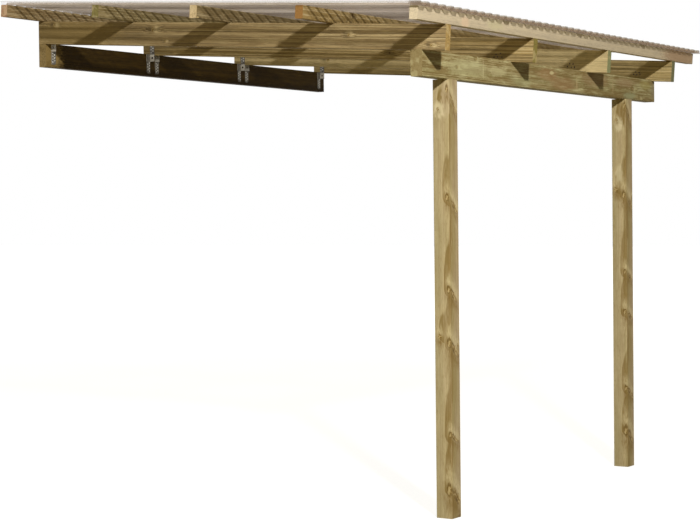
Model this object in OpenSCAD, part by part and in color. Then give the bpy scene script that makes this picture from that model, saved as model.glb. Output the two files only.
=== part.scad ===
// Lean-to patio cover: two posts, a front beam, a wall plate, four rafters,
// five battens and lapped corrugated sheets, tied to the plate by steel anchors.
// X runs from the wall out to the eave, Y along the wall, Z up.
// The origin lies on the back face of the wall plate, at its centre.

/* [Overall] */
// Width over the two outer rafters
frame_width = 2760; // [2000:10:3600]
// Length of a rafter along its underside, measured from the wall
rafter_length = 2610; // [1900:5:3300]
// Fall of the roof in degrees
roof_fall = 4.1; // [2:0.1:10]
// Level distance from the outer face of the beam to the end of the rafters
eave_overhang = 128; // [60:1:300]

/* [Posts] */
// Side of a square post
post_size = 90; // [70:1:140]
// Height of a post, from the ground to the underside of the beam
post_height = 2180; // [1800:5:2700]
// Distance from the near end of the beam to the near post
near_post_inset = 250; // [0:5:500]
// Distance from the far end of the beam to the far post
far_post_inset = 330; // [0:5:500]

/* [Beam and wall plate] */
// Thickness of the front beam
beam_thickness = 65; // [40:1:90]
// Height of the front beam
beam_height = 130; // [90:1:200]
// Thickness of the wall plate
plate_thickness = 50; // [35:1:80]
// Height of the wall plate
plate_height = 130; // [125:1:220]

/* [Rafters] */
// Thickness of a rafter
rafter_thickness = 45; // [35:1:70]
// Depth of a rafter, square to the slope
rafter_depth = 125; // [90:1:200]
// Depth of each seat cut at its shallow edge
seat_depth = 1; // [0.5:0.5:10]
// Play between a seat cut and the face of the timber it sits on
seat_play = 1; // [0.5:0.5:3]

/* [Battens] */
// Thickness of a batten, along the slope
batten_thickness = 45; // [30:1:60]
// Height of a batten, square to the slope
batten_height = 65; // [40:1:90]
// Length of batten that passes each outer rafter
batten_overhang = 270; // [50:5:450]
// Distance that the top batten reaches up the slope past the foot of the rafter
top_batten_shift = 8; // [0:0.5:8]
// Distance that each batten lies nearer than the next one down the slope
batten_creep = 7; // [0:1:15]

/* [Roof sheets] */
// Width of one corrugation
wave_pitch = 76; // [50:1:130]
// Depth of a corrugation
wave_depth = 18; // [12:1:30]
// Part of a corrugation that lies flat in its trough
trough_part = 0.42; // [0.2:0.01:0.5]
// Part of a corrugation that lies flat on its crest
crest_part = 0.3; // [0.2:0.01:0.35]
// Thickness of a sheet
sheet_thickness = 1; // [0.8:0.1:2]
// Corrugations shared by two neighbouring sheets
lap_waves = 0.5; // [0.5:0.5:1.5]
// Length of sheet that passes the eave end of the rafters
eave_lip = 34; // [10:1:100]
// Gap under a sheet, and between two lapped sheets
sheet_gap = 0.3; // [0.2:0.1:0.5]

/* [Anchors] */
// Width of each leg of an anchor
anchor_leg = 34; // [25:1:60]
// Thickness of the anchor steel
anchor_gauge = 2; // [1.5:0.5:4]
// Height of the rafter leg above the top of the wall plate
anchor_rise = 56; // [35:1:80]
// Length of the rafter leg below the top of the wall plate
anchor_web_drop = 45; // [30:1:60]
// Length of the plate leg below the top of the wall plate
anchor_drop = 114; // [70:1:120]
// Diameter of the bolt hole in the web
anchor_hole = 13; // [8:1:16]

/* [Edges] */
// Width of the eased edges of the timber
arris = 2; // [1:0.5:4]

/* [Hidden] */
sheet_count = 4;
rafter_count = 4;
batten_count = 5;
spare = 60;

// Length kept to a tenth of a millimetre, so that faces that touch agree
function tenth(v) = round(10 * v) / 10;

// Level places, from the centre of the back of the wall plate
plate_top = plate_height / 2;
rafter_foot = plate_top - seat_depth;
beam_front = tenth(rafter_length * cos(roof_fall) - eave_overhang);
beam_back = beam_front - beam_thickness;
beam_top = tenth(rafter_foot + seat_depth - beam_back * tan(roof_fall));
beam_bottom = beam_top - beam_height;
ground = beam_bottom - post_height;

// Places along the wall
near_side = -frame_width / 2;
far_side = frame_width / 2;
rafter_step = (frame_width - rafter_thickness) / (rafter_count - 1);
batten_length = frame_width + 2 * batten_overhang;

// Places down the slope, and heights square to it
batten_step = (rafter_length - batten_thickness + top_batten_shift) / (batten_count - 1);
sheet_start = (rafter_depth + batten_height) * -tan(roof_fall) + sheet_gap;
sheet_length = rafter_length + eave_lip - sheet_start;
sheet_rest = rafter_depth + batten_height + sheet_gap;

// Whole corrugations over the roof, and how many each sheet adds.
// The near edge is cut half a wave before the first trough, on a crest.
roof_waves = ceil(batten_length / wave_pitch);
cover_waves = ceil(roof_waves / sheet_count);
first_trough = -(roof_waves - 0.5) * wave_pitch / 2;

TIMBER = "#b5a173";
TIMBER_DARK = "#5a4a30";
SHEET = "#8f8682";
STEEL = "#9b9a93";

// Rectangle with eased corners
function eased(w, h, e) = [[e, 0], [w - e, 0], [w, e], [w, h - e],
                           [w - e, h], [e, h], [0, h - e], [0, e]];

// Corners of one corrugation, from the middle of a trough: part of a wave, part of its depth
WAVE = [[0, 0], [trough_part / 2, 0], [0.5 - crest_part / 2, 1],
        [0.5 + crest_part / 2, 1], [1 - trough_part / 2, 0]];

// Height of the underside at a whole wave, which is a trough, or a half, which is a crest
function edge_height(place) = place == floor(place) ? 0 : wave_depth;

// Underside of a sheet from one place to another, both in whole or half waves
function waves(from, to) = concat(
    [[from * wave_pitch, edge_height(from)]],
    [for (k = [floor(from) : ceil(to) - 1]) for (p = WAVE) if (k + p[0] > from && k + p[0] < to)
        [(k + p[0]) * wave_pitch, p[1] * wave_depth]],
    [[to * wave_pitch, edge_height(to)]]);

// Places that slope with the roof, from the foot of the rafters
module on_roof() {
    translate([0, 0, rafter_foot]) rotate([0, roof_fall, 0]) children();
}

// Bar along X: width w in Y, height h in Z
module bar_x(len, w, h) {
    rotate([90, 0, 90]) linear_extrude(height = len) polygon(eased(w, h, arris));
}

// Bar along Y: width w in X, height h in Z
module bar_y(len, w, h) {
    translate([0, len, 0]) rotate([90, 0, 0]) linear_extrude(height = len) polygon(eased(w, h, arris));
}

// Bar along Z: width w in X, height h in Y
module bar_z(len, w, h) {
    linear_extrude(height = len) polygon(eased(w, h, arris));
}

module post(y) {
    color(TIMBER) translate([beam_front - post_size, y, ground]) bar_z(post_height, post_size, post_size);
}

module front_beam() {
    color(TIMBER) translate([beam_back, near_side, beam_bottom])
        bar_y(frame_width, beam_thickness, beam_height);
}

module wall_plate() {
    color(TIMBER_DARK) translate([0, near_side, -plate_height / 2])
        bar_y(frame_width, plate_thickness, plate_height);
}

// Level seat cut, from one face of a timber to the other
module seat_cut(back, front, top) {
    translate([back, -spare, top - spare]) cube([front - back, rafter_thickness + 2 * spare, spare]);
}

// Rafter with its foot cut plumb against the wall
module rafter(i) {
    color(TIMBER) translate([0, near_side + (i - 1) * rafter_step, 0]) difference() {
        on_roof() translate([-spare, 0, 0]) bar_x(rafter_length + spare, rafter_thickness, rafter_depth);
        translate([-3 * spare, -spare, -spare])
            cube([3 * spare, rafter_thickness + 2 * spare, rafter_depth + 4 * spare]);
        seat_cut(-spare, plate_thickness + seat_play, plate_top);
        seat_cut(beam_back - seat_play, beam_front + seat_play, beam_top);
    }
}

module batten(i) {
    down = (i - 1) * batten_step - top_batten_shift;
    over = (batten_count - i) * batten_creep;
    color(TIMBER) on_roof() translate([down, -batten_length / 2 - over, rafter_depth])
        bar_y(batten_length, batten_thickness, batten_height);
}

// Corrugated sheet; every second one is lifted so that the laps lie on their neighbours
module roof_sheet(i) {
    first = i == 1 ? -0.5 : (i - 1) * cover_waves;
    last = min(i * cover_waves + lap_waves, roof_waves);
    lift = i % 2 == 0 ? sheet_thickness + sheet_gap : 0;
    under = waves(first, last);
    over = [for (k = [len(under) - 1 : -1 : 0]) under[k] + [0, sheet_thickness]];
    color(SHEET) on_roof() translate([sheet_start, first_trough, sheet_rest + lift])
        rotate([90, 0, 90]) linear_extrude(height = sheet_length) polygon(concat(under, over));
}

// Leg shape with the two corners at its tip cut off
function leg(w, h, c) = [[0, 0], [w, 0], [w, h - c], [w - c, h], [0, h]];

// Folded anchor for the near side of a rafter, from the corner of plate and rafter
module anchor_body() {
    clip = anchor_leg / 4;
    difference() {
        union() {
            translate([0, 0, -anchor_web_drop]) rotate([90, 0, 0])
                linear_extrude(height = anchor_gauge)
                    polygon(leg(anchor_leg, anchor_rise + anchor_web_drop, clip));
            rotate([0, 0, -90]) rotate([-90, 0, 0])
                linear_extrude(height = anchor_gauge) polygon(leg(anchor_leg, anchor_drop, clip));
        }
        translate([anchor_leg / 2 + anchor_gauge / 2, spare / 2, -anchor_web_drop / 2])
            rotate([90, 0, 0]) cylinder(h = spare, d = anchor_hole, $fn = 48);
    }
}

module anchor(i, far) {
    side = near_side + (i - 1) * rafter_step + (far ? rafter_thickness : 0);
    color(STEEL) translate([plate_thickness, side, plate_top]) mirror([0, far ? 1 : 0, 0]) anchor_body();
}

post(near_side + near_post_inset);  // post_near
post(far_side - far_post_inset - post_size);  // post_far
front_beam();
wall_plate();
rafter(1);  // rafter_1
rafter(2);  // rafter_2
rafter(3);  // rafter_3
rafter(4);  // rafter_4
batten(1);  // batten_1
batten(2);  // batten_2
batten(3);  // batten_3
batten(4);  // batten_4
batten(5);  // batten_5
roof_sheet(1);  // roof_sheet_1
roof_sheet(2);  // roof_sheet_2
roof_sheet(3);  // roof_sheet_3
roof_sheet(4);  // roof_sheet_4
anchor(1, true);  // anchor_1_far
anchor(2, false);  // anchor_2_near
anchor(2, true);  // anchor_2_far
anchor(3, false);  // anchor_3_near
anchor(3, true);  // anchor_3_far
anchor(4, false);  // anchor_4_near
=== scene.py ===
"""Looks of the lean-to patio cover: timbers, corrugated sheets, anchors, nails, light and camera."""

from math import atan2, ceil, cos, degrees, floor, pi, radians, sin, tan
from random import Random

import bmesh
import bpy
from mathutils import Matrix, Vector


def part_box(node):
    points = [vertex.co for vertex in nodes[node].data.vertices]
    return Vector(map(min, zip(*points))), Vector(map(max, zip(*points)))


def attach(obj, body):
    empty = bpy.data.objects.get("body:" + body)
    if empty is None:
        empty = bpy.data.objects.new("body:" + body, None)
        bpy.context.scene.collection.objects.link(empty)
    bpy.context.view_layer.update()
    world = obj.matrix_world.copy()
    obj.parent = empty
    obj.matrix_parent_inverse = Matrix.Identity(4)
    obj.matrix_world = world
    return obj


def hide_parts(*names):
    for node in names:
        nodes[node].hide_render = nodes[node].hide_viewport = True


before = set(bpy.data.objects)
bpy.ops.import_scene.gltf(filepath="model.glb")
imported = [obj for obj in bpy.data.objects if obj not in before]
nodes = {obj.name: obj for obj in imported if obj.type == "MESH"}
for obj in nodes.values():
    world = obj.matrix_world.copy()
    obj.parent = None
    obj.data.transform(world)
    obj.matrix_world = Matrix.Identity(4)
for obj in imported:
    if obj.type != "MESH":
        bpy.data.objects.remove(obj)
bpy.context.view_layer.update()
BODY = "root"

# ---------------------------------------------------------------- sizes, in metres

ROOF_FALL = radians(4.1)
PLATE_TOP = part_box("wall_plate")[1].z
SEAT_DEPTH = 0.001
RAFTER_FOOT = PLATE_TOP - SEAT_DEPTH
RAFTER_LENGTH = 2.61
RAFTER_THICKNESS = 0.045
RAFTER_DEPTH = 0.125
BATTEN_HEIGHT = 0.065
BATTEN_COUNT = 5
BEAM_THICKNESS = 0.065
PLATE_THICKNESS = 0.05
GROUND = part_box("post_near")[0].z

SHEET_COUNT = 4
WAVE_PITCH = 0.076
WAVE_DEPTH = 0.018
TROUGH_PART = 0.42
CREST_PART = 0.3
EAVE_LIP = 0.034
SHEET_THICKNESS = 0.001
SHEET_GAP = 0.0003


def on_roof(down, along, up):
    """Place given down the slope, along the wall and square to the slope."""
    return Vector((
        down * cos(ROOF_FALL) + up * sin(ROOF_FALL),
        along,
        RAFTER_FOOT - down * sin(ROOF_FALL) + up * cos(ROOF_FALL),
    ))


ROOF_TURN = Matrix.Rotation(ROOF_FALL, 4, "Y")
UP = Vector((0.0, 0.0, 1.0))


# ---------------------------------------------------------------- shader maths


class Value:
    """A socket of a node tree. Arithmetic on it adds Math nodes."""

    def __init__(self, finish, socket):
        self.finish = finish
        self.socket = socket

    def math(self, operation, *others):
        sockets = {0: self}
        for place, other in enumerate(others, 1):
            sockets[place] = other
        return self.finish.node("ShaderNodeMath", {"operation": operation}, sockets)["Value"]

    def reflected(self, operation, other):
        return self.finish.node("ShaderNodeMath", {"operation": operation}, {0: other, 1: self})["Value"]

    def __add__(self, other):
        return self.math("ADD", other)

    __radd__ = __add__

    def __sub__(self, other):
        return self.math("SUBTRACT", other)

    def __rsub__(self, other):
        return self.reflected("SUBTRACT", other)

    def __mul__(self, other):
        return self.math("MULTIPLY", other)

    __rmul__ = __mul__

    def __truediv__(self, other):
        return self.math("DIVIDE", other)

    def __rtruediv__(self, other):
        return self.reflected("DIVIDE", other)

    def __abs__(self):
        return self.math("ABSOLUTE")

    def fraction(self):
        return self.math("FRACT")

    def root(self):
        return self.math("SQRT")

    def least(self, other):
        return self.math("MINIMUM", other)

    def most(self, other):
        return self.math("MAXIMUM", other)

    def rise(self, low, high, start=0.0, end=1.0):
        """A smooth step from start to end as the value goes from low to high."""
        settings = {"interpolation_type": "SMOOTHSTEP"}
        sockets = {"Value": self, "From Min": low, "From Max": high, "To Min": start, "To Max": end}
        return self.finish.node("ShaderNodeMapRange", settings, sockets)["Result"]

    def between(self, places):
        """A band that comes in between the first two places and goes out between the last two."""
        start, full, fade, stop = places
        return self.rise(start, full) * self.rise(fade, stop, 1.0, 0.0)


def strongest(first, *others):
    """The greatest of several values."""
    for other in others:
        first = first.most(other)
    return first


class Outputs:
    """The output sockets of one node, by name or number."""

    def __init__(self, finish, node):
        self.finish = finish
        self.node = node

    def __getitem__(self, name):
        return Value(self.finish, self.node.outputs[name])


class Finish:
    """One material, or the world, and the ways to add nodes to it."""

    def __init__(self, name, tree=None):
        if tree is None:
            self.material = bpy.data.materials.new(name)
            self.material.use_nodes = True
            tree = self.material.node_tree
        self.tree = tree
        self.tree.nodes.clear()

    def node(self, kind, settings, sockets):
        node = self.tree.nodes.new(kind)
        for name, value in settings.items():
            if name == "stops":
                self.set_stops(node.color_ramp, value)
            else:
                setattr(node, name, value)
        for name, value in sockets.items():
            if isinstance(value, Value):
                self.tree.links.new(value.socket, node.inputs[name])
            else:
                node.inputs[name].default_value = value
        return Outputs(self, node)

    @staticmethod
    def set_stops(ramp, stops):
        while len(ramp.elements) < len(stops):
            ramp.elements.new(1.0)
        for element, (place, colour) in zip(ramp.elements, stops):
            element.position = place
            element.color = colour

    def vector(self, x, y, z):
        return self.node("ShaderNodeCombineXYZ", {}, {"X": x, "Y": y, "Z": z})["Vector"]

    def split(self, vector):
        outputs = self.node("ShaderNodeSeparateXYZ", {}, {"Vector": vector})
        return outputs["X"], outputs["Y"], outputs["Z"]

    def noise(self, vector, scale=1.0, detail=2.0, roughness=0.5):
        sockets = {"Vector": vector, "Scale": scale, "Detail": detail, "Roughness": roughness}
        return self.node("ShaderNodeTexNoise", {}, sockets)["Fac"]

    def mix(self, factor, first, second):
        """Two colours mixed. The colour sockets of this node come after its plain numbers and vectors."""
        settings = {"data_type": "RGBA", "blend_type": "MIX", "clamp_factor": True}
        return self.node("ShaderNodeMix", settings, {0: factor, 6: first, 7: second})[2]

    def layers(self, colour, coats):
        """A colour with others laid over it in turn, each by its own amount."""
        for amount, shade in coats:
            colour = self.mix(amount, colour, shade)
        return colour

    def toward(self, way, direction):
        """How far a way points in a direction, from -1 to 1."""
        sockets = {0: way, 1: direction}
        return self.node("ShaderNodeVectorMath", {"operation": "DOT_PRODUCT"}, sockets)["Value"]

    def finish(self, sockets):
        shader = self.node("ShaderNodeBsdfPrincipled", {}, sockets)["BSDF"]
        self.node("ShaderNodeOutputMaterial", {}, {"Surface": shader})
        return self.material


def tint(red, green, blue):
    """A colour given as on a colour chart, from 0 to 255."""
    def level(part):
        part = part / 255.0
        return part / 12.92 if part <= 0.04045 else ((part + 0.055) / 1.055) ** 2.4
    return (level(red), level(green), level(blue), 1.0)


# ---------------------------------------------------------------- timber

RING_WIDTH = 0.0052
# length of board for each small knot that comes at random
KNOT_SPACE = 0.7


class Board:
    """One length of softwood: its place, the tree it was cut from, its colours and its marks.

    turn lays the pattern along the board. pith is where the heart of the tree lies across the
    board, and lot tells one tree from another. knots grow out of the pith, and zones are the colours
    from the pith outwards. patches are soft spots of colour: mostly stains and marks, but on the
    plate, the eave batten and the near rafter some are painted light, shadow and shade. marks says
    how strong each kind of figure is: rings, bands, cream, streaks, wisps and scatter, and flecks
    where they differ from the usual."""

    def __init__(self, node, turn, pith, lot, tones, marks, knots=(), patches=(), zones=()):
        self.node = node
        self.turn = turn
        low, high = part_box(node)
        self.middle = (low + high) / 2
        self.pith = pith
        self.lot = lot
        self.tones = tones
        self.knots = knots
        self.patches = patches
        self.zones = zones
        self.marks = {"flecks": 0.35, **marks}


def wood_tones(early, late, moss, end, cream, stain):
    """The colours of a board: the wood of spring and summer, tinges, sawn ends, pale and dark marks."""
    return {"early": tint(*early), "late": tint(*late), "moss": tint(*moss), "end": tint(*end),
            "cream": tint(*cream), "stain": tint(*stain)}


def darker(shade, amount):
    return tuple(round(part * amount) for part in shade)


KNOT_CREAM = tint(190, 170, 122)
KNOT_BROWN = tint(120, 96, 50)
KNOT_DARK = tint(78, 58, 28)


def knots_on(face, pith, spots):
    """Knots given by where they come out on a face: place along, height, half width, climb."""
    return [(along, degrees(atan2(high - pith[1], face - pith[0])), size, lean)
            for along, high, size, lean in spots]


class Tree:
    """The tree round one board: places in it, and soft patterns drawn out along it."""

    def __init__(self, f, board, place):
        self.f = f
        sockets = {"Vector": place, "Location": board.middle, "Rotation": board.turn}
        local = f.node("ShaderNodeMapping", {"vector_type": "TEXTURE"}, sockets)["Vector"]
        self.along, self.wide, self.high = f.split(local)
        self.run = self.along + board.lot * 7.31
        # the pith wanders a little along the board
        sway = f.noise(f.vector(self.run * 0.9, 3.1 * board.lot, 0.0)) - 0.5
        bend = f.noise(f.vector(self.run * 0.9, 3.1 * board.lot, 9.0)) - 0.5
        self.across = self.wide - board.pith[0] + sway * 0.03
        self.up = self.high - board.pith[1] + bend * 0.03
        self.radius = (self.across * self.across + self.up * self.up).root()
        self.ripple = self.grain(30.0, 90.0, detail=3.0) - 0.5
        self.mottle = self.grain(38.0, 130.0, detail=3.0)

    def grain(self, lengthways, crossways, sides=None, **settings):
        """Soft noise with so many waves in a metre along the board, and so many across it."""
        wide, high = sides or (self.wide, self.high)
        place = self.f.vector(self.run * lengthways, wide * crossways, high * crossways)
        return self.f.noise(place, **settings)


def knot_spoke(tree, knot):
    """One branch: its mottled wood, the grain it pushes aside, and the stains above and below it."""
    height, angle, size, lean = knot
    aim_wide, aim_high = cos(radians(angle)), sin(radians(angle))
    outward = tree.across * aim_wide + tree.up * aim_high
    side = tree.across * aim_high - tree.up * aim_wide
    climb = tree.along - outward * lean - height + tree.ripple * size * 2.2
    here = outward.rise(0.0, 0.006)
    girth = (outward * 3.5 + 0.7) * size
    lengthways = climb / (1.0 + abs(lean)) / girth
    round_it = side / girth
    reach = (lengthways * lengthways + round_it * round_it).root()
    swing = (lengthways * lengthways * 0.16 + round_it * round_it).root()
    wide_reach = (lengthways * lengthways * 0.2 + round_it * round_it * 0.8).root()
    near = wide_reach.rise(0.6, 2.6, 1.0, 0.0) * here
    rim = (reach + tree.ripple).rise(0.8, 1.0) * reach.rise(1.05, 1.3, 1.0, 0.0)
    beside = abs(side).rise(0.0, 0.05, 1.0, 0.0)
    streaks = tree.f.vector(outward * 16.0, lengthways * 1.5, round_it * 1.5)
    return {
        "knot": (reach + tree.ripple * 0.9).rise(0.7, 1.2, 1.0, 0.0) * here,
        "flow": swing.rise(0.3, 3.2, 1.0, 0.0) * girth * here,
        "pale": near * lengthways.rise(0.0, 2.0),
        "brown": near * lengthways.rise(-2.5, 0.5, 1.0, 0.0),
        "rim": rim * lengthways.rise(-1.2, -0.2, 1.0, 0.0) * here,
        "push": climb.rise(-0.05, 0.0) * climb.rise(0.02, 0.26, 1.0, 0.0) * beside,
        "streak": tree.f.noise(streaks),
    }


def scattered_knots(tree, amount):
    """Small knots that come at random, about one in each length of KNOT_SPACE where the amount is 1."""
    f = tree.f
    spin = 1.3
    around = f.vector(tree.run / KNOT_SPACE, tree.across / tree.radius * spin, tree.up / tree.radius * spin)
    cell = f.node("ShaderNodeTexVoronoi", {"feature": "F1"}, {"Vector": around, "Scale": 1.0})
    spot_x, spot_y, spot_z = f.split(cell["Position"])
    near_x, near_y, near_z = f.split(around)
    chance, reach, warp = f.split(cell["Color"])
    off_along = (near_x - spot_x) * KNOT_SPACE + tree.ripple * 0.01
    off_wide = (near_y - spot_y) / spin * tree.radius
    off_high = (near_z - spot_z) / spin * tree.radius
    off_round = (off_wide * off_wide + off_high * off_high).root()
    picked = chance.rise(1.0 - amount, 1.02 - amount)
    girth = reach.rise(0.0, 1.0, 0.004, 0.011)
    gap = (off_along * off_along + off_round * off_round).root() / girth
    swing = (off_along * off_along * 0.14 + off_round * off_round).root() / girth
    return {
        "knot": (gap + tree.ripple * 0.8).rise(0.8, 1.2, 1.0, 0.0) * picked,
        "flow": swing.rise(0.3, 3.0, 1.0, 0.0) * girth * picked,
        "brown": swing.rise(0.6, 2.4, 1.0, 0.0) * picked,
        "rim": gap.rise(0.85, 1.0) * gap.rise(1.05, 1.25, 1.0, 0.0) * picked,
        "streak": warp,
    }


def board_knots(board, tree):
    """All the knots of a board: at each place, the strongest of each of their marks."""
    marks = scattered_knots(tree, board.marks["scatter"])
    marks["pale"] = marks["push"] = marks["knot"] * 0.0
    for knot in board.knots:
        spoke = knot_spoke(tree, knot)
        picked = (spoke["knot"] - marks["knot"]).rise(0.0, 0.01)
        marks["streak"] = picked * (spoke["streak"] - marks["streak"]) + marks["streak"]
        for name in ("knot", "flow", "brown", "rim", "pale", "push"):
            marks[name] = marks[name].most(spoke[name])
    return marks


def growth_rings(board, tree, flow):
    """The dark late wood and the pale early wood of each ring, and the waver of the rings."""
    waver = tree.grain(1.7, 26.0, detail=3.0) - 0.5
    ring = (tree.radius + flow * 0.9 + waver * 0.007) / RING_WIDTH
    ring = ring + tree.f.noise(tree.f.vector(ring * 0.21, board.lot, 0.0), detail=0.0) * 2.2
    phase = ring.fraction()
    this_ring = tree.f.noise(tree.f.vector(ring * 0.31, board.lot + 4.0, 0.0), detail=1.0)
    late = phase.between((0.3, 0.84, 0.92, 1.0)) * this_ring.rise(0.3, 0.65, 0.15, 1.0)
    pale = phase.between((0.0, 0.1, 0.2, 0.5)) * this_ring.rise(0.35, 0.6, 1.0, 0.0)
    return {"late": late, "pale": pale, "waver": waver}


def grain_patterns(tree, flow):
    """Soft patterns along the board, most of which swing past the knots."""
    swung = (tree.wide + flow * 0.7, tree.high + flow * 0.7)
    streak = tree.grain(1.6, 120.0, swung, detail=4.0, roughness=0.62)
    wispy = tree.f.vector(tree.run * 8.0 + streak * 1.5, swung[0] * 42.0, swung[1] * 42.0)
    return {
        "band": tree.grain(0.4, 46.0, swung),
        "fine": tree.grain(0.5, 210.0, swung, roughness=0.6),
        "streak": streak,
        "cloud": tree.grain(2.4, 15.0, detail=3.0),
        "wisp": tree.f.noise(wispy, detail=5.0, roughness=0.62),
        "fleck": tree.grain(34.0, 330.0, swung),
        "fibre": tree.grain(26.0, 950.0),
    }


def zone_colour(board, tree, push, waver, pattern):
    """Plain early wood, or where a board has zones, their colours from the pith outwards."""
    early = board.tones["early"]
    if not board.zones:
        return early
    reach = board.zones[-1][0]
    from_pith = (tree.radius - push * 0.03 + waver * 0.012) / reach
    shades = [(start / reach, tint(*shade)) for start, shade, _ in board.zones]
    levels = [(start / reach, (level, level, level, 1.0)) for start, _, level in board.zones]
    shade = tree.f.node("ShaderNodeValToRGB", {"stops": shades}, {"Fac": from_pith})["Color"]
    level = tree.f.node("ShaderNodeValToRGB", {"stops": levels}, {"Fac": from_pith})["Color"]
    amount = (pattern["band"] * 0.5 + pattern["cloud"] * 0.5).rise(0.3, 0.56, 0.35, 1.0).most(push)
    return tree.f.mix(level * amount, early, shade)


def figure_coats(board, rings, pattern):
    """Rings, bands, wisps, streaks, fibres and flecks, in the order that they lie on the wood."""
    tone, marks = board.tones, board.marks
    band, fine, streak, wisp = (pattern[name] for name in ("band", "fine", "streak", "wisp"))
    return [
        (rings["late"] * marks["rings"], tone["late"]),
        (rings["pale"] * marks["cream"], tone["cream"]),
        (band.rise(0.42, 0.64) * marks["bands"], tone["moss"]),
        (wisp.rise(0.47, 0.62) * marks["wisps"], tone["late"]),
        (wisp.rise(0.36, 0.46, 1.0, 0.0) * marks["wisps"], tone["cream"]),
        (pattern["cloud"].rise(0.45, 0.75) * 0.35, tone["moss"]),
        (streak.rise(0.5, 0.68) * marks["streaks"], tone["late"]),
        (fine.rise(0.55, 0.61) * marks["streaks"], tone["stain"]),
        (fine.rise(0.37, 0.42, 1.0, 0.0) * marks["cream"], tone["cream"]),
        (pattern["fibre"].rise(0.45, 0.8) * 0.2, tone["late"]),
        (pattern["fleck"].rise(0.56, 0.68) * marks["flecks"], tone["stain"]),
    ]


def patch_coat(tree, patch):
    """A soft patch of colour round one spot of the board, with ragged edges: mostly a stain, but on the
    plate, the eave batten and the near rafter some are painted light, shadow and shade.
    """
    at_along, at_wide, at_high, long, broad, colour, amount = patch
    off_along = (tree.along - at_along) / long
    off_wide = (tree.wide - at_wide) / broad
    off_high = (tree.high - at_high) / broad
    reach = (off_along * off_along + off_wide * off_wide + off_high * off_high).root()
    return (reach + (tree.mottle - 0.5) * 1.1).rise(0.5, 1.1, 1.0, 0.0) * amount, tint(*colour)


def knot_coats(board, tree, knots):
    """Knots are pale and speckled above, stained below, mottled along the branch and dark under it."""
    mottle, streak = tree.mottle, knots["streak"]
    branch = tree.f.layers(KNOT_BROWN, [
        (streak.rise(0.48, 0.62), KNOT_CREAM),
        (streak.rise(0.3, 0.44, 1.0, 0.0), KNOT_DARK),
    ])
    return [
        (knots["pale"] * mottle.rise(0.3, 0.6, 0.15, 0.75), board.tones["cream"]),
        (knots["brown"] * mottle.rise(0.35, 0.65, 0.35, 0.9), board.tones["stain"]),
        (knots["knot"] * mottle.rise(0.3, 0.6, 0.55, 0.95), branch),
        (knots["rim"] * mottle.rise(0.4, 0.6) * 0.8, KNOT_DARK),
    ]


def end_coats(board, tree, rings, cloud, end, split):
    """Sawn ends show the rings end on, with fine splits, and take the stain differently."""
    tone = board.tones
    shade = tree.f.layers(tone["end"], [
        (rings["late"] * 0.3, tone["late"]),
        (tree.mottle.rise(0.4, 0.7) * 0.4, tone["stain"]),
        (cloud.rise(0.5, 0.6) * 0.35, tone["cream"]),
    ])
    return [(end, shade), (split * 0.3, KNOT_DARK)]


def timber(board):
    """Planed softwood: growth rings round a pith, knots, streaks, stains, fibres and rough sawn ends."""
    f = Finish(board.node + "_pine")
    coords = f.node("ShaderNodeTexCoord", {}, {})
    tree = Tree(f, board, coords["Object"])
    knots = board_knots(board, tree)
    rings = growth_rings(board, tree, knots["flow"])
    pattern = grain_patterns(tree, knots["flow"])

    grain_way = Matrix.Rotation(board.turn[2], 3, "Z") @ Matrix.Rotation(board.turn[1], 3, "Y")
    end = abs(f.toward(coords["Normal"], grain_way @ Vector((1.0, 0.0, 0.0)))).rise(0.7, 0.9)
    round_pith = f.vector(tree.across / tree.radius * 14.0, tree.up / tree.radius * 14.0,
                          board.lot + tree.radius * 6.0)
    split = f.noise(round_pith, detail=1.0).rise(0.68, 0.72) * end

    colour = zone_colour(board, tree, knots["push"], rings["waver"], pattern)
    colour = f.layers(colour, figure_coats(board, rings, pattern))
    colour = f.layers(colour, [patch_coat(tree, patch) for patch in board.patches])
    colour = f.layers(colour, knot_coats(board, tree, knots))
    colour = f.layers(colour, end_coats(board, tree, rings, pattern["cloud"], end, split))

    late, fibre = rings["late"], pattern["fibre"]
    height = late * 0.35 + fibre * 0.3 + pattern["streak"] * 0.3 - knots["rim"] * 0.8
    height = height - split + end * tree.mottle * 0.8
    bump = f.node("ShaderNodeBump", {}, {"Strength": 0.6, "Distance": 0.0007, "Height": height})["Normal"]
    rough = 0.62 + fibre * 0.14 + late * 0.05 + end * 0.1 - knots["knot"] * 0.12
    give(board.node, f.finish({"Base Color": colour, "Roughness": rough, "Normal": bump,
                               "Specular IOR Level": 0.1}))


def give(node, material):
    mesh = nodes[node].data
    mesh.materials.clear()
    mesh.materials.append(material)


# turns of the pattern, whose own X runs along the board
POST_TURN = (0.0, -pi / 2, 0.0)
WALL_TURN = (0.0, 0.0, pi / 2)
RAFTER_TURN = (0.0, ROOF_FALL, 0.0)
BATTEN_TURN = (ROOF_FALL, 0.0, pi / 2)

# height along the post, way across it in degrees, half width, climb for each metre outwards
POST_KNOTS = {
    "post_near": [(0.905, 168, 0.0085, 1.5), (0.420, 168, 0.0095, 1.0), (-0.030, 167, 0.010, 0.95),
                  (-0.290, 168, 0.012, 0.9), (-0.720, 170, 0.009, 0.6), (-1.020, 166, 0.016, 0.9),
                  (0.910, 142, 0.006, 0.3), (-0.240, 140, 0.008, 0.5)],
    "post_far": [(0.930, 168, 0.0085, 1.4), (0.450, 166, 0.012, 0.9), (0.010, 169, 0.009, 0.7),
                 (-0.220, 167, 0.011, 0.6), (-0.680, 169, 0.010, 0.7), (-0.950, 166, 0.015, 0.9),
                 (0.935, 142, 0.006, 0.3), (0.500, 140, 0.009, 0.5)],
}
POST_TONES = wood_tones((182, 168, 132), (138, 116, 72), (156, 146, 104), (176, 156, 110), (204, 190, 150),
                        (124, 100, 54))
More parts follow.
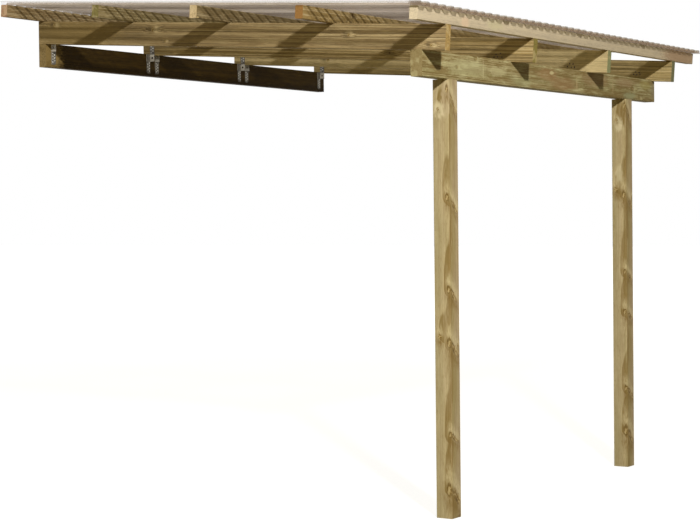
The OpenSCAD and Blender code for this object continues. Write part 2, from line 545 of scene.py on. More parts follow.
# distance from the pith, colour, and how fully it shows
POST_ZONES = [(0.0, (172, 154, 128), 1.0), (0.03, (166, 148, 116), 1.0), (0.036, (154, 137, 94), 0.9),
              (0.056, (148, 130, 84), 0.9), (0.063, (136, 112, 62), 1.0), (0.084, (124, 100, 52), 1.0),
              (0.088, (194, 178, 138), 0.9), (0.096, (182, 166, 132), 0.7), (0.13, (160, 152, 118), 0.8)]
# place along, across and through, half length, half breadth, colour, amount
POST_PATCHES = {
    "post_near": [(0.94, -0.045, 0.01, 0.05, 0.035, (214, 204, 168), 0.7),
                  (1.0, -0.045, -0.03, 0.12, 0.03, (206, 190, 158), 0.5),
                  (-1.0, -0.01, -0.045, 0.08, 0.03, (118, 94, 44), 0.5)],
    "post_far": [(0.94, -0.045, 0.0, 0.05, 0.03, (214, 204, 168), 0.6),
                 (0.64, -0.045, 0.0, 0.07, 0.03, (206, 196, 160), 0.6),
                 (0.55, -0.045, 0.0, 0.07, 0.03, (132, 110, 62), 0.6)],
}


def finish_posts():
    marks = {"rings": 0.22, "bands": 0.25, "cream": 0.15, "streaks": 0.18, "wisps": 0.22, "scatter": 0.12}
    for lot, node in enumerate(("post_near", "post_far"), 1):
        timber(Board(node, POST_TURN, (0.04, -0.053), lot, POST_TONES, marks, POST_KNOTS[node],
                     POST_PATCHES[node], POST_ZONES))


def finish_beam():
    shades = wood_tones((160, 148, 106), (122, 102, 62), (134, 128, 84), (140, 126, 88), (190, 184, 142),
                        (108, 90, 50))
    front, pith = -BEAM_THICKNESS / 2, (0.11, -0.05)
    knots = knots_on(front, pith, [(-1.048, -0.005, 0.005, 0.1), (-0.86, 0.05, 0.005, 0.1),
                                   (1.054, 0.002, 0.007, 0.1), (1.154, -0.05, 0.006, 0.1)])
    patches = [(-0.95, front, 0.0, 0.25, 0.05, (182, 178, 136), 0.45),
               (-0.62, front, 0.0, 0.1, 0.03, (196, 190, 148), 0.4),
               (-0.35, front, -0.04, 0.12, 0.03, (160, 160, 118), 0.45),
               (-0.05, front, 0.02, 0.14, 0.04, (150, 116, 80), 0.5),
               (0.14, front, -0.02, 0.2, 0.04, (148, 116, 82), 0.5),
               (0.0, front, 0.031, 0.03, 0.012, (206, 196, 150), 0.7),
               (0.55, front, 0.02, 0.2, 0.05, (146, 118, 84), 0.5),
               (0.95, front, 0.03, 0.16, 0.03, (158, 134, 102), 0.5),
               (1.02, front, -0.045, 0.1, 0.025, (152, 156, 120), 0.6),
               (1.25, front, 0.03, 0.1, 0.03, (166, 156, 92), 0.4),
               (-0.771, front, 0.0, 0.008, 0.055, (196, 188, 148), 0.4),
               (0.309, front, -0.01, 0.01, 0.05, (186, 168, 124), 0.5),
               (0.786, front, 0.0, 0.01, 0.05, (176, 156, 114), 0.4),
               (1.37, front, 0.0, 0.05, 0.06, (138, 130, 108), 0.5)]
    marks = {"rings": 0.35, "bands": 0.5, "cream": 0.5, "streaks": 0.75, "wisps": 0.85, "scatter": 0.2,
             "flecks": 0.6}
    timber(Board("front_beam", WALL_TURN, pith, 5, shades, marks, knots, patches))


def finish_plate():
    # painted shade: the plate gets very dark wood tones for the deep shade it stands in under the roof; only
    # its sawn ends keep the usual end colour
    shades = wood_tones((60, 44, 12), (34, 22, 4), (48, 36, 9), (150, 130, 88), (74, 58, 20), (26, 16, 3))
    front = -PLATE_THICKNESS / 2
    # painted light: the first patch lightens the near end of the front face, where light reaches in under
    # the near rafter; the two after it are dark blotches within that lit end
    patches = [(-1.36, front, 0.0, 0.13, 0.12, (128, 108, 66), 0.95),
               (-1.3, front, 0.03, 0.05, 0.03, (84, 66, 32), 0.6),
               (-1.34, front, -0.05, 0.05, 0.03, (96, 78, 42), 0.5)]
    marks = {"rings": 0.5, "bands": 0.5, "cream": 0.3, "streaks": 0.5, "wisps": 0.5, "scatter": 0.1}
    timber(Board("wall_plate", WALL_TURN, (0.06, -0.1), 8, shades, marks, patches=patches))


# colours of the sawn ends and of the long faces, and the piths, from the near rafter to the far one
RAFTER_ENDS = [(170, 142, 88), (136, 124, 66), (140, 146, 106), (120, 122, 92)]
RAFTER_FACES = [(160, 138, 98), (170, 147, 98), (196, 178, 132), (168, 148, 100)]
RAFTER_PITHS = [(0.12, -0.035), (0.10, 0.05), (0.12, -0.06), (0.09, 0.04)]
# for each rafter: place along, height, half width, climb
RAFTER_KNOTS = [
    [(-1.213, 0.044, 0.006, 0.1), (-0.51, 0.024, 0.0085, 0.1), (-0.42, -0.037, 0.004, 0.1),
     (0.736, 0.006, 0.006, 0.1), (1.213, -0.046, 0.006, 0.1)],
    [(-0.2, 0.01, 0.010, 0.1)],
    [(-0.6, -0.02, 0.009, 0.1)],
    [(-0.7, 0.03, 0.010, 0.1)],
]


def finish_rafters():
    face = -RAFTER_THICKNESS / 2
    rafters = zip(RAFTER_FACES, RAFTER_ENDS, RAFTER_PITHS, RAFTER_KNOTS)
    for i, (early, end, pith, knots) in enumerate(rafters):
        shades = wood_tones(early, darker(early, 0.68), darker(early, 0.86), end, (208, 190, 146),
                            darker(early, 0.56))
        # painted shade: the near rafter's side is made darker over the part nearest the wall
        patches = [(-1.05, face, 0.0, 0.4, 0.08, (138, 118, 74), 0.75)] if i == 0 else []
        marks = {"rings": 0.35, "bands": 0.22, "cream": 0.65, "streaks": 0.75, "wisps": 0.25,
                 "scatter": 0.25}
        if i == 2:
            marks.update({"rings": 0.4, "streaks": 0.2})
        timber(Board("rafter_%d" % (i + 1), RAFTER_TURN, pith, 11 + i, shades, marks,
                     knots_on(face, pith, knots), patches))


# colours of the sawn ends and of the long faces, from the batten at the wall to the one at the eave
BATTEN_ENDS = [(194, 154, 126), (130, 122, 74), (210, 188, 148), (150, 110, 62), (210, 196, 168)]
BATTEN_FACES = [(132, 111, 76), (122, 107, 70), (120, 103, 70), (146, 123, 78), (204, 190, 164)]


def finish_battens():
    marks = {"rings": 0.4, "bands": 0.3, "cream": 0.35, "streaks": 0.3, "wisps": 0.25, "scatter": 0.3}
    eave_marks = {"rings": 0.2, "bands": 0.2, "cream": 0.2, "streaks": 0.15, "wisps": 0.2, "scatter": 0.0}
    # on the eave batten: the first patch is a painted shadow of the sheets' lip, brown over the far end of
    # the front face; the two others are pale patches nearer the near end
    eave_patches = [(1.45, -0.02, 0.0, 0.3, 0.06, (160, 128, 98), 0.7),
                    (-1.2, -0.02, -0.01, 0.05, 0.03, (214, 186, 158), 0.6),
                    (-0.9, -0.02, 0.0, 0.1, 0.03, (190, 184, 146), 0.5)]
    for i, (early, end) in enumerate(zip(BATTEN_FACES, BATTEN_ENDS)):
        at_eave = i == BATTEN_COUNT - 1
        shades = wood_tones(early, darker(early, 0.78), darker(early, 0.9), end, (216, 200, 164),
                            darker(early, 0.66))
        timber(Board("batten_%d" % (i + 1), BATTEN_TURN, (-0.04, -0.05 + 0.012 * i), 21 + i, shades,
                     eave_marks if at_eave else marks, patches=eave_patches if at_eave else ()))


# ---------------------------------------------------------------- meshes


def piece(name, bm, material):
    """Turn a finished bmesh into a piece that rides on the frame."""
    mesh = bpy.data.meshes.new(name)
    bm.to_mesh(mesh)
    bm.free()
    mesh.materials.append(material)
    obj = bpy.data.objects.new(name, mesh)
    bpy.context.scene.collection.objects.link(obj)
    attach(obj, BODY)
    return obj


def smooth(obj, angle):
    obj.data.shade_smooth()
    obj.data.set_sharp_from_angle(angle=angle)


# ---------------------------------------------------------------- corrugated sheets

ROOF_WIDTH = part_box("batten_1")[1].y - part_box("batten_1")[0].y
# a whole number of waves isn't rounded up by the last digit of the width
ROOF_WAVES = ceil(ROOF_WIDTH / WAVE_PITCH - 0.001)
COVER_WAVES = ceil(ROOF_WAVES / SHEET_COUNT)
LAP_WAVES = 0.5
FIRST_TROUGH = -(ROOF_WAVES - 0.5) * WAVE_PITCH / 2
SHEET_REST = RAFTER_DEPTH + BATTEN_HEIGHT + SHEET_GAP
SHEET_START = -(RAFTER_DEPTH + BATTEN_HEIGHT) * tan(ROOF_FALL) + SHEET_GAP
SHEET_END = RAFTER_LENGTH + EAVE_LIP
# parts that the mesh of a sheet is divided into, down the slope
SHEET_PARTS = 6
FOLD_RADIUS = 0.0016
# two faces meet in a fold where the cosine between them is less than this
FOLD_COSINE = 0.9

# the strip at the eave has its own tint, from the first of these places down the slope to the second
EAVE_FROM, EAVE_TO = 2.57, 2.6
# part of the light that goes straight through where a sheet is clean and faced squarely
CLEAR = 0.95
# places across one wave, from one trough to the next: where a band starts, is full, fades and stops
TROUGH_FLAT = (0.19, 0.21, 0.79, 0.81)
WEATHER_FLANK = (0.215, 0.25, 0.29, 0.325)
WHOLE_FLANK = (0.2, 0.22, 0.34, 0.36)
CREST_TOP = (0.27, 0.31, 0.64, 0.68)
CREST_FLAT = (0.33, 0.38, 0.62, 0.67)
LEE_FLANK = (0.64, 0.68, 0.76, 0.8)
LOW_FOLD = (0.19, 0.205, 0.215, 0.23)
HIGH_FOLD = (0.33, 0.345, 0.355, 0.37)


def sheet_haze(phase, eave, cut_edge):
    """How far light is scattered at each place of a wave: by weathered flanks, folds and dust."""
    inner = 1.0 - eave
    return strongest(
        phase.between(WEATHER_FLANK) * inner * 0.6,
        phase.between(WHOLE_FLANK) * eave * 0.3,
        phase.between(LOW_FOLD).most(phase.between(HIGH_FOLD)) * inner * 0.3,
        phase.between(CREST_FLAT) * 0.06,
        phase.between(LEE_FLANK) * (eave * 0.45 + 0.06),
        (1.0 - phase.between(TROUGH_FLAT)) * eave * 0.15,
        cut_edge * 0.2,
    )


def see_through(f, skin_sockets, through, dim):
    """A skin that lets part of the light straight through and glows with part of the rest.

    The glow takes an equal share with the skin of what doesn't go through, and the skin's alpha is
    set so that the light that passes both is the part asked for."""
    share = (1.0 - through) * 0.5
    alpha = 1.0 - through / (1.0 - share)
    skin = f.node("ShaderNodeBsdfPrincipled", {}, {**skin_sockets, "Alpha": alpha, "IOR": 1.49})
    pale = f.node("ShaderNodeBsdfTranslucent", {}, {"Color": tint(200, 190, 182)})
    deep = f.node("ShaderNodeBsdfTranslucent", {}, {"Color": tint(104, 90, 78)})
    glow = f.node("ShaderNodeMixShader", {}, {0: dim, 1: pale["BSDF"], 2: deep["BSDF"]})
    return f.node("ShaderNodeMixShader", {}, {0: share, 1: skin["BSDF"], 2: glow["Shader"]})["Shader"]


def smoked_sheet():
    """Smoke tinted corrugated plastic: some waves darker than others as painted shade, pale lee flanks and
    crest tops at the eave as painted highlights, flanks hazy, the eave its own tint.
    """
    f = Finish("smoked_sheet")
    down, along, up = f.split(f.node("ShaderNodeTexCoord", {}, {})["Object"])
    wave = (along - FIRST_TROUGH) / WAVE_PITCH + 1.0
    phase = wave.fraction()
    whole = (wave - phase + 0.5) * 0.731
    this_wave = f.node("ShaderNodeTexWhiteNoise", {"noise_dimensions": "1D"}, {"W": whole})["Value"]
    other_wave = f.node("ShaderNodeTexWhiteNoise", {"noise_dimensions": "1D"}, {"W": whole + 40.0})["Value"]
    eave = down.rise(EAVE_FROM, EAVE_TO)
    inner = 1.0 - eave
    lee = phase.between(LEE_FLANK)
    cut_edge = down.rise(SHEET_END - 0.006, SHEET_END - 0.003)
    cut_edge = cut_edge.most(down.rise(SHEET_START + 0.003, SHEET_START + 0.006, 1.0, 0.0))
    cloud = f.noise(f.vector(down * 2.2, along * 6.0, up), detail=3.0)
    long_run = f.noise(f.vector(down * 1.3, along * 40.0, up))
    dust = f.noise(f.vector(down * 60.0, along * 60.0, up * 60.0), detail=3.0)
    # painted light: the sheet is made a little lighter near the wall
    painted_light_near_wall = down.rise(0.1, 0.9, 1.0, 0.0)
    # painted shade: some waves and long runs darker than others, for the light and dark lines of lit and
    # shaded flanks
    shade = this_wave.rise(0.2, 0.8) * 0.7 + long_run.rise(0.35, 0.65) * 0.3 - painted_light_near_wall * 0.05 - 0.05
    shade = (shade * inner).most(0.0).least(1.0)
    colour = f.layers(tint(210, 198, 184), [
        (cloud.rise(0.3, 0.75), tint(188, 172, 162)),
        (shade * (1.0 - lee * 0.6), tint(100, 86, 76)),
        # painted highlight: pale lee flanks on some waves, standing in for the light they catch through the
        # sheet
        (lee * other_wave.rise(0.4, 0.8) * inner, tint(240, 232, 222)),
        (eave, tint(168, 144, 122)),
        # painted highlight: paler crest tops along the eave
        (eave * phase.between(CREST_TOP), tint(206, 200, 190)),
    ])
    rough = 0.3 + cloud * 0.1 + dust * 0.1
    bump = f.node("ShaderNodeBump", {}, {"Strength": 0.15, "Distance": 0.0005, "Height": dust})["Normal"]
    slant = f.node("ShaderNodeLayerWeight", {}, {"Blend": 0.5})["Facing"].rise(0.7, 1.0, 1.0, 0.1)
    through = slant * (1.0 - sheet_haze(phase, eave, cut_edge)) * (CLEAR - eave * 0.1)
    # the painted shade of the waves, and the eave, turn the glow from pale to deep
    surface = see_through(f, {"Base Color": colour, "Roughness": rough, "Normal": bump}, through,
                          shade.most(eave * 0.6))
    f.node("ShaderNodeOutputMaterial", {}, {"Surface": surface})
    return f.material


def wave_places(start, end):
    """Places across a sheet, in waves from the first trough, and the height of the underside at each."""
    corners = [(0.0, 0.0), (TROUGH_PART / 2, 0.0), (0.5 - CREST_PART / 2, 1.0),
               (0.5 + CREST_PART / 2, 1.0), (1.0 - TROUGH_PART / 2, 0.0)]
    places = [(k + part, rise) for k in range(floor(start), ceil(end)) for part, rise in corners
              if start < k + part < end]
    return [(start, 0.0 if start == int(start) else 1.0)] + places + [(end, 0.0 if end == int(end) else 1.0)]


def sheet_mesh(first, last, lift):
    """A sheet between two places, in waves: a grid laid along them, with eased folds, then thickened."""
    places = wave_places(first, last)
    bm = bmesh.new()
    bmesh.ops.create_grid(bm, x_segments=SHEET_PARTS, y_segments=len(places) - 1, size=0.5)
    for vert in bm.verts:
        down = SHEET_START + (vert.co.x + 0.5) * (SHEET_END - SHEET_START)
        wave, rise = places[round((vert.co.y + 0.5) * (len(places) - 1))]
        up = SHEET_REST + lift + rise * WAVE_DEPTH
        vert.co = on_roof(down, FIRST_TROUGH + wave * WAVE_PITCH, up)
    folds = [edge for edge in bm.edges if len(edge.link_faces) == 2
             and edge.link_faces[0].normal.dot(edge.link_faces[1].normal) < FOLD_COSINE]
    bmesh.ops.bevel(bm, geom=folds, offset=FOLD_RADIUS, offset_type="OFFSET", segments=3, profile=0.5,
                    affect="EDGES", material=-1)
    grown = bmesh.ops.extrude_face_region(bm, geom=bm.faces[:])
    top = [item for item in grown["geom"] if isinstance(item, bmesh.types.BMVert)]
    bmesh.ops.translate(bm, verts=top, vec=ROOF_TURN @ Vector((0.0, 0.0, SHEET_THICKNESS)))
    bmesh.ops.recalc_face_normals(bm, faces=bm.faces)
    return bm


def roof_sheets():
    """The sheets from the near side to the far one. Every second one is lifted onto its neighbours."""
    material = smoked_sheet()
    for i in range(1, SHEET_COUNT + 1):
        first = -0.5 if i == 1 else (i - 1) * COVER_WAVES
        last = min(i * COVER_WAVES + LAP_WAVES, ROOF_WAVES)
        lift = SHEET_THICKNESS + SHEET_GAP if i % 2 == 0 else 0.0
        obj = piece("sheet_%d" % i, sheet_mesh(first, last, lift), material)
        smooth(obj, radians(30))
        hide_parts("roof_sheet_%d" % i)


# ---------------------------------------------------------------- anchors and nails

ANCHOR_LEG = 0.034
ANCHOR_GAUGE = 0.002
ANCHOR_RISE = 0.056
ANCHOR_WEB = 0.045
ANCHOR_DROP = 0.114
ANCHOR_CLIP = ANCHOR_LEG / 4
WEB_HOLE = 0.0065
NAIL_HOLE = 0.0025
NAIL_HEAD = 0.0042
NAIL_DOME = 0.0016
# width of the top of a nail head, and of its eased rim, as parts of the width of its foot
DOME_TOP = 0.72
DOME_EASE = 0.15
# shorter than any edge: how near a point lies to a plane to count as on it
TOUCH = 1e-6


def zinc(name, dull, dark, light, web=False):
    """Galvanised steel: crystal spangle under a dull grey skin, with a painted highlight on the web of an
    anchor.
    """
    f = Finish(name)
    coords = f.node("ShaderNodeTexCoord", {}, {})
    place = coords["Object"]
    crystal = f.node("ShaderNodeTexVoronoi", {"feature": "F1"}, {"Vector": place, "Scale": 180.0})["Color"]
    level, turn, _ = f.split(crystal)
    stain = f.noise(place, scale=40.0, detail=3.0)
    colour = f.mix(level, dark, light)
    colour = f.mix(stain.rise(0.45, 0.75) * 0.5, colour, tint(120, 112, 98))
    if web:
        height = f.split(place)[2]
        sideways = abs(f.split(coords["Normal"])[1]).rise(0.7, 0.9)
        low = PLATE_TOP - ANCHOR_WEB
        # painted highlight: the web of an anchor, where it faces along the rafter, is made almost white
        painted_web_highlight = height.between((low, low + 0.004, PLATE_TOP - 0.006, PLATE_TOP)) * sideways
        colour = f.mix(painted_web_highlight * 0.9, colour, tint(206, 202, 192))
    rough = dull + turn * 0.15 + stain * 0.1
    bump = f.node("ShaderNodeBump", {}, {"Strength": 0.2, "Distance": 0.0003, "Height": stain})["Normal"]
    return f.finish({"Base Color": colour, "Roughness": rough, "Metallic": 0.5, "Normal": bump})


def outline(bm, points):
    verts = [bm.verts.new((x, y, 0.0)) for x, y in points]
    for one, two in zip(verts, verts[1:] + verts[:1]):
        bm.edges.new((one, two))


def hole(bm, x, y, radius, segments):
    bmesh.ops.create_circle(bm, cap_ends=False, radius=radius, segments=segments,
                            matrix=Matrix.Translation((x, y, 0.0)))


def leg_holes():
    """Nail holes of the flat anchor: x across from the fold, y up from the top of the plate."""
    rafter_leg = [(0.010, 0.010), (0.024, 0.018), (0.010, 0.026), (0.024, 0.034), (0.010, 0.044)]
    plate_leg = [(-0.010, -0.052), (-0.024, -0.060), (-0.010, -0.068), (-0.024, -0.076),
                 (-0.010, -0.084), (-0.024, -0.092), (-0.010, -0.100)]
    return rafter_leg, plate_leg


def anchor_shape():
    """Folded anchor for the near side of a rafter, with the corner of plate and rafter at the origin."""
    bm = bmesh.new()
    outline(bm, [
        (0.0, -ANCHOR_WEB), (ANCHOR_LEG, -ANCHOR_WEB), (ANCHOR_LEG, ANCHOR_RISE - ANCHOR_CLIP),
        (ANCHOR_LEG - ANCHOR_CLIP, ANCHOR_RISE), (0.0, ANCHOR_RISE), (0.0, 0.0), (-ANCHOR_LEG, 0.0),
        (-ANCHOR_LEG, ANCHOR_CLIP - ANCHOR_DROP), (ANCHOR_CLIP - ANCHOR_LEG, -ANCHOR_DROP),
        (0.0, -ANCHOR_DROP),
    ])
    rafter_leg, plate_leg = leg_holes()
    for x, y in rafter_leg + plate_leg:
        hole(bm, x, y, NAIL_HOLE, 10)
    hole(bm, ANCHOR_LEG / 2 + ANCHOR_GAUGE / 2, -ANCHOR_WEB / 2, WEB_HOLE, 24)
    bmesh.ops.triangle_fill(bm, use_beauty=True, use_dissolve=False, edges=bm.edges[:])
    bmesh.ops.bisect_plane(bm, geom=bm.verts[:] + bm.edges[:] + bm.faces[:], dist=TOUCH,
                           plane_co=(0.0, 0.0, 0.0), plane_no=(1.0, 0.0, 0.0))
    grown = bmesh.ops.extrude_face_region(bm, geom=bm.faces[:])
    back = [item for item in grown["geom"] if isinstance(item, bmesh.types.BMVert)]
    bmesh.ops.translate(bm, verts=back, vec=(0.0, 0.0, ANCHOR_GAUGE))
    # stand the blank up: rafter leg in X and Z, facing along -Y
    bmesh.ops.rotate(bm, verts=bm.verts[:], cent=(0.0, 0.0, 0.0), matrix=Matrix.Rotation(pi / 2, 3, "X"))
    # fold the plate leg back onto the plate
    for vert in bm.verts:
        if vert.co.x < -TOUCH:
            vert.co = Vector((-vert.co.y, vert.co.x, vert.co.z))
        elif vert.co.x < TOUCH and vert.co.z < TOUCH and vert.co.y < -TOUCH:
            vert.co.x = ANCHOR_GAUGE
    bmesh.ops.recalc_face_normals(bm, faces=bm.faces)
    return bm


def standing(place, way):
    """The move that stands a shape up along a way, with its middle at a place."""
    return Matrix.Translation(place) @ UP.rotation_difference(way).to_matrix().to_4x4()


def nail_head(bm, place, way, radius, height):
    """A domed nail head at a place, standing up along a way."""
    made = bmesh.ops.create_cone(bm, cap_ends=True, segments=12, radius1=radius, radius2=radius * DOME_TOP,
                                 depth=height, matrix=standing(place + way * height / 2, way))
    rim = {edge for vert in made["verts"] for edge in vert.link_edges
           if all(abs((end.co - place).dot(way) - height) < TOUCH for end in edge.verts)}
    bmesh.ops.bevel(bm, geom=list(rim), offset=radius * DOME_EASE, offset_type="OFFSET", segments=2,
                    profile=0.5, affect="EDGES", material=-1)


def anchors():
    """Folded anchors with a nail in each hole. A far one is the mirror image of a near one."""
    # dull zinc for the strap, its greys darkened further as painted shade
    strap = zinc("galvanised_strap", 0.5, tint(74, 70, 64), tint(122, 118, 110), web=True)
    nail_skin = zinc("galvanised_nail", 0.3, tint(170, 168, 160), tint(214, 212, 204))
    rafter_leg, plate_leg = leg_holes()
    for node in ("anchor_1_far", "anchor_2_near", "anchor_2_far", "anchor_3_near", "anchor_3_far",
                 "anchor_4_near"):
        low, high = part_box(node)
        far = node.endswith("far")
        corner = Vector((low.x, low.y if far else high.y, PLATE_TOP))
        bm = anchor_shape()
        nails = bmesh.new()
        for x, y in rafter_leg:
            nail_head(nails, Vector((x, -ANCHOR_GAUGE, y)), Vector((0.0, -1.0, 0.0)), NAIL_HEAD, NAIL_DOME)
        for x, y in plate_leg:
            nail_head(nails, Vector((ANCHOR_GAUGE, x, y)), Vector((1.0, 0.0, 0.0)), NAIL_HEAD, NAIL_DOME)
        for shape in (bm, nails):
            if far:
                bmesh.ops.scale(shape, vec=(1.0, -1.0, 1.0), verts=shape.verts[:])
                bmesh.ops.recalc_face_normals(shape, faces=shape.faces)
            bmesh.ops.translate(shape, verts=shape.verts[:], vec=corner)
        obj = piece("strap_" + node[7:], bm, strap)
        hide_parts(node)
        piece("nails_" + node[7:], nails, nail_skin)


# rafter, distance down the slope and height up the rafter of each cluster of nails
SKEW_NAILS = [(2, 2.405, 0.027), (3, 2.385, 0.03), (4, 2.386, 0.04)]
SKEW_COUNT = 5
SKEW_STEP = 0.011
SKEW_ROW = 0.014
SKEW_HEAD = 0.0044
SKEW_DOME = 0.001


def skew_nails():
    """Nails driven at a slant through three of the rafters into the beam, in two rough rows."""
    # dark brown nail heads
    dark = zinc("dark_nail", 0.5, tint(52, 42, 32), tint(84, 70, 54))
    spread = Random(4)
    for i, down, up in SKEW_NAILS:
        low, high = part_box("rafter_%d" % i)
        bm = bmesh.new()
        for side, way in ((low.y, -1.0), (high.y, 1.0)):
            for k in range(SKEW_COUNT):
                nail_down = down + (k - SKEW_COUNT // 2) * SKEW_STEP + spread.uniform(-0.003, 0.003)
                nail_up = up + SKEW_ROW * (k % 2) + spread.uniform(-0.004, 0.004)
                place = on_roof(nail_down, side, nail_up)
                nail_head(bm, place, Vector((0.0, way, 0.0)), SKEW_HEAD, SKEW_DOME)
        piece("skew_nails_%d" % i, bm, dark)


# a screw in each fourth valley
SCREW_EVERY = 4
WASHER_RADIUS = 0.008
WASHER_DOME = 0.0025
HEAD_RADIUS = 0.0046
HEAD_HEIGHT = 0.0045


def rubber():
    """Weathered black sealing rubber."""
    f = Finish("sealing_rubber")
    place = f.node("ShaderNodeTexCoord", {}, {})["Object"]
    bloom = f.noise(place, scale=300.0, detail=3.0)
    colour = f.mix(bloom.rise(0.4, 0.7), tint(34, 33, 32), tint(74, 72, 68))
    return f.finish({"Base Color": colour, "Roughness": 0.6 + bloom * 0.25})


def roof_screws():
    """Screws with sealing washers, down the valleys of the sheets into each batten."""
    steel = zinc("galvanised_screw", 0.35, tint(142, 140, 134), tint(196, 194, 186))
    black = rubber()
    up_way = ROOF_TURN @ UP
    # on top of two sheets, where they lap
    rest = SHEET_REST + 2 * (SHEET_THICKNESS + SHEET_GAP)
    for i in range(1, BATTEN_COUNT + 1):
        low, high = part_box("batten_%d" % i)
        middle = (low + high) / 2
        down = middle.x / cos(ROOF_FALL) - (RAFTER_DEPTH + BATTEN_HEIGHT / 2) * tan(ROOF_FALL)
        heads, seals = bmesh.new(), bmesh.new()
        for k in range(1, ROOF_WAVES, SCREW_EVERY):
            place = on_roof(down, FIRST_TROUGH + k * WAVE_PITCH, rest)
            nail_head(seals, place, up_way, WASHER_RADIUS, WASHER_DOME)
            centre = place + up_way * (WASHER_DOME + HEAD_HEIGHT / 2)
            bmesh.ops.create_cone(heads, cap_ends=True, segments=6, radius1=HEAD_RADIUS, radius2=HEAD_RADIUS,
                                  depth=HEAD_HEIGHT, matrix=standing(centre, up_way))
        bmesh.ops.bevel(heads, geom=heads.edges[:], offset=0.0004, offset_type="OFFSET", segments=2,
                        profile=0.5, affect="EDGES", material=-1)
        piece("roof_screws_%d" % i, heads, steel)
        piece("screw_seals_%d" % i, seals, black)


# ---------------------------------------------------------------- stage, light and camera


def seen_ray(f):
    """Whether the ray is one that is looked along, and not one that gathers light."""
    light = f.node("ShaderNodeLightPath", {}, {})
    return light["Is Camera Ray"].most(light["Is Glossy Ray"]).most(light["Is Transmission Ray"])


FLOOR_HALF = 60.0
# the floor lies a little under the posts, so that the two don't share a plane
FLOOR_DROP = 0.0005
# seen from near by the floor glows less than white, which leaves room for the shadow to show
FLOOR_GLOW = (0.82, 0.82, 0.82, 1.0)
FADE_FROM, FADE_TO = 5.0, 16.0
WHITE = (1.0, 1.0, 1.0, 1.0)


def plain_floor():
    """A floor that is white to look at, keeps a faint shadow, and throws little light back up."""
    f = Finish("floor_white")
    east, north, _ = f.split(f.node("ShaderNodeTexCoord", {}, {})["Object"])
    far_off = (east * east + north * north).root().rise(FADE_FROM, FADE_TO)
    lighting = f.node("ShaderNodeBsdfDiffuse", {}, {"Color": (0.15, 0.125, 0.055, 1.0)})["BSDF"]
    matt = f.node("ShaderNodeBsdfDiffuse", {}, {"Color": (0.26, 0.26, 0.26, 1.0)})["BSDF"]
    glow = f.node("ShaderNodeEmission", {}, {"Color": f.mix(far_off, FLOOR_GLOW, WHITE), "Strength": 1.0})
    shown = f.node("ShaderNodeAddShader", {}, {0: matt, 1: glow["Emission"]})["Shader"]
    mixed = f.node("ShaderNodeMixShader", {}, {0: seen_ray(f), 1: lighting, 2: shown})["Shader"]
    f.node("ShaderNodeOutputMaterial", {}, {"Surface": mixed})
    bm = bmesh.new()
    bmesh.ops.create_grid(bm, x_segments=1, y_segments=1, size=FLOOR_HALF)
    bmesh.ops.translate(bm, verts=bm.verts[:], vec=(0.0, 0.0, GROUND - FLOOR_DROP))
    mesh = bpy.data.meshes.new("floor")
    bm.to_mesh(mesh)
    bm.free()
    mesh.materials.append(f.material)
    ground = bpy.data.objects.new("floor", mesh)
    bpy.context.scene.collection.objects.link(ground)


# glows of the world: where each comes from, where it starts and is full, its strength and its colour
LEFT_GLOW = ((-0.6, -0.8, 0.0), (-0.2, 1.0), 0.21, (1.0, 0.84, 0.5, 1.0))
BACK_GLOW = ((-0.7, 0.7, 0.0), (0.1, 1.0), 1.3, (1.0, 0.95, 0.86, 1.0))
HIGH_GLOW = ((0.0, 0.0, 1.0), (0.35, 1.0), 1.0, (1.0, 0.92, 0.66, 1.0))


def sky_glow(f, way, direction, span, strength, colour):
    """A soft glow of the world that is full in one direction and fades out round it."""
    level = f.toward(way, direction).rise(*span, 0.0, strength)
    return f.node("ShaderNodeBackground", {}, {"Color": colour, "Strength": level})["Background"]


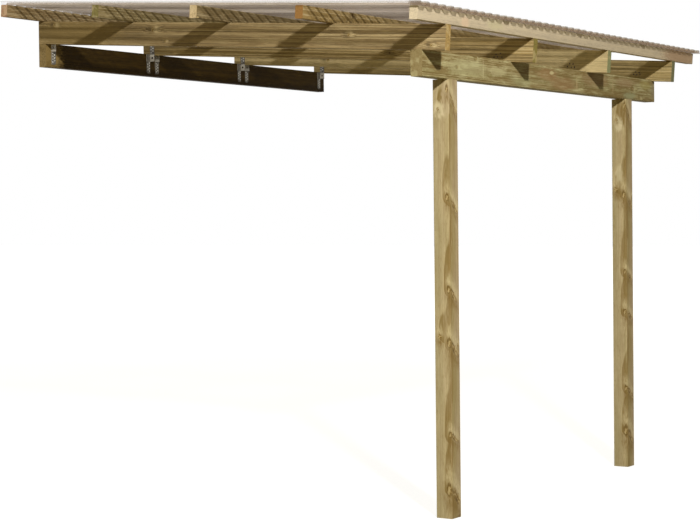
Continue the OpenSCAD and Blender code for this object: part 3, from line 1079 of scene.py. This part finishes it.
def plain_world():
    """White to look at; as a light, a soft glow from overhead, a weak warm one from the left of the
    camera and a broad one from behind, on the sides that the lamp leaves dark."""
    world = bpy.data.worlds.new("studio")
    bpy.context.scene.world = world
    world.use_nodes = True
    f = Finish("studio", world.node_tree)
    way = f.node("ShaderNodeTexCoord", {}, {})["Generated"]
    left, back, high = (sky_glow(f, way, *glow) for glow in (LEFT_GLOW, BACK_GLOW, HIGH_GLOW))
    level = f.node("ShaderNodeAddShader", {}, {0: left, 1: back})["Shader"]
    fill = f.node("ShaderNodeAddShader", {}, {0: level, 1: high})["Shader"]
    white = f.node("ShaderNodeBackground", {}, {"Color": WHITE, "Strength": 1.0})["Background"]
    mixed = f.node("ShaderNodeMixShader", {}, {0: seen_ray(f), 1: fill, 2: white})
    f.node("ShaderNodeOutputWorld", {}, {"Surface": mixed["Shader"]})


LAMP_PLACE = Vector((7.86, -6.85, 3.06))
LAMP_POWER = 3900.0
LAMP_SIZE = 0.2
LAMP_COLOUR = (1.0, 0.97, 0.92)


def key_light():
    """A small studio lamp to the right of the camera and above it."""
    lamp = bpy.data.lights.new("key", "POINT")
    lamp.energy = LAMP_POWER
    lamp.shadow_soft_size = LAMP_SIZE
    lamp.color = LAMP_COLOUR
    obj = bpy.data.objects.new("key", lamp)
    obj.location = LAMP_PLACE
    bpy.context.scene.collection.objects.link(obj)


CAMERA_PLACE = Vector((6.9214, -8.8444, -0.8946))
CAMERA_YAW = radians(33.134)
CAMERA_PITCH = radians(-1.507)
CAMERA_ROLL = radians(-0.625)
CAMERA_LENS = 92.556
CAMERA_SENSOR = 36.0
CAMERA_REACH = 300.0


def camera():
    """The camera, turned by its yaw, then its pitch, then its roll."""
    level = cos(CAMERA_PITCH)
    ahead = Vector((-sin(CAMERA_YAW) * level, cos(CAMERA_YAW) * level, sin(CAMERA_PITCH)))
    right = Vector((cos(CAMERA_YAW), sin(CAMERA_YAW), 0.0))
    up = right.cross(ahead)
    right, up = (right * cos(CAMERA_ROLL) + up * sin(CAMERA_ROLL),
                 up * cos(CAMERA_ROLL) - right * sin(CAMERA_ROLL))
    lens = bpy.data.cameras.new("camera")
    lens.sensor_width = CAMERA_SENSOR
    lens.lens = CAMERA_LENS
    lens.clip_end = CAMERA_REACH
    obj = bpy.data.objects.new("camera", lens)
    turn = Matrix((right, up, -ahead)).transposed().to_4x4()
    obj.matrix_world = Matrix.Translation(CAMERA_PLACE) @ turn
    bpy.context.scene.collection.objects.link(obj)
    bpy.context.scene.camera = obj


finish_posts()
finish_beam()
finish_plate()
finish_rafters()
finish_battens()
roof_sheets()
anchors()
skew_nails()
roof_screws()
plain_floor()
plain_world()
key_light()
camera()
bpy.context.scene.view_settings.view_transform = "Standard"
